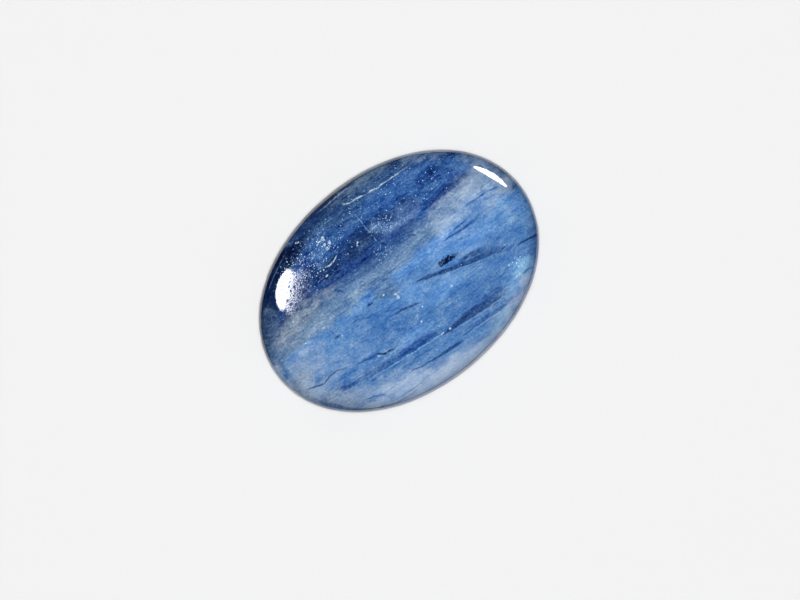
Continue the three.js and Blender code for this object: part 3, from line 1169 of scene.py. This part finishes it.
@dataclass
class Stone:
    """The cabochon itself, drawn from its oval outline: the bevelled back, the girdle, then the dome.

    Attributes:
        length: The oval's length, in millimetres.
        width: The oval's width, in millimetres.
        height: The height from the back to the top of the dome, in millimetres.
        girdle_top: The height where the upright band ends and the dome starts.
        bevel_height: The height of the ground bevel round the back.
        bevel_width: How far the bevel takes the back in.
        edge_round: The width of the softened ground edges.
        outline_fullness: The outline's superellipse exponent.
        dome_fullness: The dome's superellipse exponent.
        steps_around: How many points the outline has.
        steps_up: How many rings the dome has.
        smoothness: How many times the finished mesh is smoothed.
        waver: How far the hand-made polish wavers, in millimetres.
        waver_size: The size of its waves, in millimetres.
    """

    length: float
    width: float
    height: float
    girdle_top: float = 1.2
    bevel_height: float = 0.35
    bevel_width: float = 0.45
    edge_round: float = 0.07
    outline_fullness: float = 2.06
    dome_fullness: float = 2.2
    steps_around: int = 96
    steps_up: int = 22
    smoothness: int = 2
    waver: float = 0.03
    waver_size: float = 2.4

    @property
    def back_share(self) -> float:
        """The back's share of the oval's width, inside the bevel."""
        return 1 - self.bevel_width / (self.width / 2)

    def build(self) -> bpy.types.Object:
        """Models the stone.

        Returns:
            Its object.
        """
        stone = self._outline()
        bpy.ops.object.mode_set(mode="EDIT")
        bpy.ops.mesh.select_all(action="SELECT")
        bpy.ops.mesh.edge_face_add()
        self._draw_cap(self.bevel_height, 1 / self.back_share)
        self._draw_cap(self.girdle_top - self.bevel_height, 1.0)
        self._dome()
        bpy.ops.mesh.select_all(action="SELECT")
        bpy.ops.mesh.normals_make_consistent(inside=False)
        self._soften(0.0)
        self._soften(self.bevel_height)
        bpy.ops.object.mode_set(mode="OBJECT")
        self._finish(stone)
        return stone

    def _outline(self) -> bpy.types.Object:
        """Draws the back's outline as an oval curve with longer handles, and turns it into points.

        Returns:
            The outline's object.
        """
        corners = 4
        bpy.ops.object.select_all(action="DESELECT")
        bpy.ops.curve.primitive_bezier_circle_add(radius=1.0)
        oval = bpy.context.object
        oval.name = "polished_stone"
        oval.data.name = "polished_stone"
        oval.data.resolution_u = self.steps_around // corners
        corner_share = math.sqrt(0.5) ** (2 / self.outline_fullness)
        handle = (8 * corner_share - 4) / 3
        for point in oval.data.splines[0].bezier_points:
            point.handle_left_type = point.handle_right_type = "ALIGNED"
            point.handle_left = point.co + (point.handle_left - point.co).normalized() * handle
            point.handle_right = point.co + (point.handle_right - point.co).normalized() * handle
        bpy.ops.object.convert(target="MESH")
        spread = self.back_share / 2
        bpy.ops.transform.resize(value=(self.length * spread, self.width * spread, 1.0))
        bpy.ops.object.transform_apply(scale=True)
        return oval

    def _draw_cap(self, rise: float, spread: float) -> None:
        """Pulls the selected cap up by a rise and widens or narrows it."""
        bpy.ops.mesh.extrude_region_move(TRANSFORM_OT_translate={"value": (0, 0, rise)})
        bpy.ops.transform.resize(value=(spread, spread, 1), center_override=(0, 0, 0))

    def _dome(self) -> None:
        """Draws the cap up and in, ring by ring, and closes it at the top."""
        rise = self.height - self.girdle_top
        power = 2 / self.dome_fullness
        last_spread = 0.5
        share, level = 1.0, 0.0
        for step in range(1, self.steps_up):
            angle = step / self.steps_up * math.pi / 2
            next_share, next_level = math.cos(angle) ** power, math.sin(angle) ** power
            self._draw_cap((next_level - level) * rise, next_share / share)
            share, level = next_share, next_level
        self._draw_cap((1.0 - level) * rise, last_spread)
        bpy.ops.mesh.merge(type="CENTER")

    def _soften(self, height: float) -> None:
        """Rounds a ground edge that runs round the stone.

        Args:
            height: The edge's height over the back, in millimetres.
        """
        hair = 1e-4
        bpy.ops.mesh.select_mode(type="EDGE")
        bpy.ops.mesh.select_all(action="DESELECT")
        bpy.ops.object.mode_set(mode="OBJECT")
        mesh = bpy.context.object.data
        for edge in mesh.edges:
            levels = [mesh.vertices[end].co.z for end in edge.vertices]
            edge.select = all(abs(level - height) < hair for level in levels)
        bpy.ops.object.mode_set(mode="EDIT")
        bpy.ops.mesh.bevel(offset=self.edge_round, segments=2, affect="EDGES")

    def _finish(self, stone: bpy.types.Object) -> None:
        """Smooths the stone, gives its polish a faint hand-made waver and takes it to its real size.

        Args:
            stone: The stone's object.
        """
        smooth = stone.modifiers.new("smooth", "SUBSURF")
        smooth.levels = smooth.render_levels = self.smoothness
        bpy.ops.object.modifier_apply(modifier=smooth.name)
        waver = bpy.data.textures.new("waver", "CLOUDS")
        waver.noise_scale = self.waver_size
        lapped = stone.modifiers.new("lapped", "DISPLACE")
        lapped.texture = waver
        lapped.texture_coords = "LOCAL"
        lapped.strength = self.waver
        bpy.ops.object.modifier_apply(modifier=lapped.name)
        bpy.ops.transform.resize(value=(MILLIMETRE,) * 3, center_override=(0, 0, 0))
        bpy.ops.object.transform_apply(scale=True)
        bpy.ops.object.shade_smooth()


@dataclass(frozen=True)
class Lamp:
    """A square light over the stone that its polish doesn't mirror.

    Attributes:
        name: The light's name.
        size: Its width, in metres.
        energy: Its power, in watts.
        inside: True if it lights what is seen through the stone, and False if it lights outer faces.
    """

    name: str
    size: float
    energy: float
    inside: bool


@dataclass(frozen=True)
class Window:
    """A bright oval panel that the dome mirrors to the camera.

    Attributes:
        name: The panel's name.
        bearing: Its direction from +X towards +Y, in degrees.
        elevation: The height of its middle above the floor's level, in degrees.
        size: Its width and height, in metres.
        lean: How far its top leans to the higher bearings, in degrees.
        radiance: How bright its face is, in watts for each square metre and steradian.
    """

    name: str
    bearing: float
    elevation: float
    size: tuple[float, float]
    lean: float
    radiance: float


@dataclass
class Studio:
    """A pale floor, soft light from above and two windows that the dome mirrors.

    Attributes:
        middle: The stone's middle on the floor.
        distance: How far off the camera stands, in metres.
        pixels_per_millimetre: The photograph's scale.
        picture_width: The photograph's width in pixels.
        long_axis_turn: The angle of the stone's length above the picture's level, in degrees.
        middle_right: How far right of the picture's middle the stone's middle is, in pixels.
        middle_up: How far above the picture's middle the stone's middle is, in pixels.
        floor_shade: The floor's grey, 0 to 1.
        floor_radius: How far the floor reaches, in metres.
        mirrored: Half of the length and width of the floor that the polish mirrors, in metres.
        mirrored_middle: The middle of that floor, in metres.
        floor_gap: The hair's breadth between the stone's back and the floor, in metres.
        room_light: How strongly the room itself glows.
        lamp_height: The height that the overhead lights hang at, in metres.
        window_distance: How far off the windows stand, in metres.
        lamps: The overhead lights.
        windows: The windows.
    """

    middle: Vector
    distance: float = 0.45
    pixels_per_millimetre: float = 17.15
    picture_width: int = 800
    long_axis_turn: float = 39.0
    middle_right: float = -1.0
    middle_up: float = 19.0
    floor_shade: float = 0.632
    floor_radius: float = 1.5
    mirrored: tuple[float, float] = (0.0112, 0.0088)
    mirrored_middle: tuple[float, float] = (0.0, 0.0001)
    floor_gap: float = 0.00003
    room_light: float = 0.15
    lamp_height: float = 0.6
    window_distance: float = 0.35
    lamps: tuple[Lamp, ...] = (
        Lamp("softbox", 0.06, 4.55, inside=False),
        Lamp("ceiling", 1.0, 5.0, inside=True),
    )
    windows: tuple[Window, ...] = (
        Window("left_window", bearing=128.0, elevation=27.0, size=(0.11, 0.23), lean=17.0, radiance=13.0),
        Window("right_window", bearing=17.0, elevation=11.0, size=(0.15, 0.085), lean=0.0, radiance=18.0),
    )

    def build(self) -> None:
        """Makes the floor, the lights, the world and the camera."""
        self._floor()
        self._world()
        for lamp in self.lamps:
            self._overhead(lamp)
        for window in self.windows:
            self._window(window)
        self._camera()

    def _floor(self) -> None:
        """Lays the pale floor, which the polish mirrors only close to the stone."""
        paint = bpy.data.materials.new("pale_floor")
        paint.use_nodes = True
        shader = paint.node_tree.nodes["Principled BSDF"]
        shader.inputs["Base Color"].default_value = (self.floor_shade,) * 3 + (1.0,)
        shader.inputs["Roughness"].default_value = 1.0
        shader.inputs["Specular IOR Level"].default_value = 0.0
        for name, fill in (("pale_floor_near", "NGON"), ("pale_floor", "NOTHING")):
            bpy.ops.object.select_all(action="DESELECT")
            bpy.ops.mesh.primitive_circle_add(vertices=96, radius=1.0, fill_type=fill)
            floor = bpy.context.object
            floor.name = name
            floor.scale = (*self.mirrored, 1.0)
            floor.location = (*self.mirrored_middle, -self.floor_gap)
            bpy.ops.object.transform_apply(location=True, scale=True)
            floor.data.materials.append(paint)
        bpy.ops.object.mode_set(mode="EDIT")
        bpy.ops.mesh.extrude_region_move()
        bpy.ops.transform.resize(value=(self.floor_radius / self.mirrored[0],) * 2 + (1,))
        bpy.ops.mesh.select_all(action="SELECT")
        bpy.ops.mesh.normals_make_consistent(inside=False)
        bpy.ops.object.mode_set(mode="OBJECT")
        floor.visible_glossy = False

    def _world(self) -> None:
        """Fills the room with dim light."""
        world = bpy.data.worlds.new("room")
        world.use_nodes = True
        back = world.node_tree.nodes["Background"]
        back.inputs["Color"].default_value = (1.0, 1.0, 1.0, 1.0)
        back.inputs["Strength"].default_value = self.room_light
        world.cycles_visibility.glossy = False
        bpy.context.scene.world = world

    def _overhead(self, lamp: Lamp) -> None:
        """Hangs an overhead light.

        Args:
            lamp: The light.
        """
        made = bpy.data.lights.new(lamp.name, "AREA")
        made.shape = "SQUARE"
        made.size = lamp.size
        made.energy = lamp.energy
        holder = bpy.data.objects.new(lamp.name, made)
        holder.location = (0, 0, self.lamp_height)
        holder.visible_glossy = False
        holder.visible_camera = False
        holder.visible_diffuse = not lamp.inside
        holder.visible_transmission = lamp.inside
        bpy.context.scene.collection.objects.link(holder)

    def _window(self, window: Window) -> None:
        """Stands a window where the dome mirrors it to the camera.

        Args:
            window: The window.
        """
        made = bpy.data.lights.new(window.name, "AREA")
        made.shape = "ELLIPSE"
        made.size, made.size_y = window.size
        made.energy = window.radiance * math.pi * made.size * made.size_y
        holder = bpy.data.objects.new(window.name, made)
        turn, lift = math.radians(window.bearing), math.radians(window.elevation)
        way = Vector((math.cos(turn) * math.cos(lift), math.sin(turn) * math.cos(lift), math.sin(lift)))
        holder.location = self.middle + way * self.window_distance
        holder.visible_diffuse = False
        holder.visible_camera = False
        holder.visible_transmission = False
        holder.rotation_mode = "QUATERNION"
        lean = Quaternion((0, 0, 1), -math.radians(window.lean))
        holder.rotation_quaternion = way.to_track_quat("Z", "Y") @ lean
        bpy.context.scene.collection.objects.link(holder)

    def _camera(self) -> None:
        """Hangs the camera over the stone, turned as the photograph shows it."""
        lens = bpy.data.cameras.new("camera")
        lens.sensor_width = 36.0
        seen = self.picture_width / self.pixels_per_millimetre * MILLIMETRE
        lens.lens = lens.sensor_width * self.distance / seen
        lens.clip_start, lens.clip_end = 0.001, 10.0
        holder = bpy.data.objects.new("camera", lens)
        turn = -math.radians(self.long_axis_turn)
        step = MILLIMETRE / self.pixels_per_millimetre
        aside = Vector((-self.middle_right * step, -self.middle_up * step, 0))
        offset = Matrix.Rotation(turn, 3, "Z") @ aside
        holder.location = self.middle + offset + Vector((0, 0, self.distance))
        holder.rotation_euler = (0, 0, turn)
        bpy.context.scene.collection.objects.link(holder)
        bpy.context.scene.camera = holder


def main() -> None:
    """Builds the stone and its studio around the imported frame."""
    logging.basicConfig(level=logging.INFO, format="%(message)s")
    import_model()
    low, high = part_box(STONE_NODE)
    size = (high - low) / MILLIMETRE
    stone = Stone(size.x, size.y, size.z).build()
    stone.data.materials.append(KyaniteFinish(size.x / 2, size.y / 2).material())
    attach(stone, STONE_BODY)
    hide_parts(STONE_NODE)
    LOG.info("%s: %d faces", stone.name, len(stone.data.polygons))
    studio = Studio(Vector((0, 0, 0)))
    studio.build()
    LOG.info("studio: %d overhead lights, %d windows", len(studio.lamps), len(studio.windows))
    bpy.context.scene.view_settings.view_transform = "Standard"


if __name__ == "__main__":
    main()
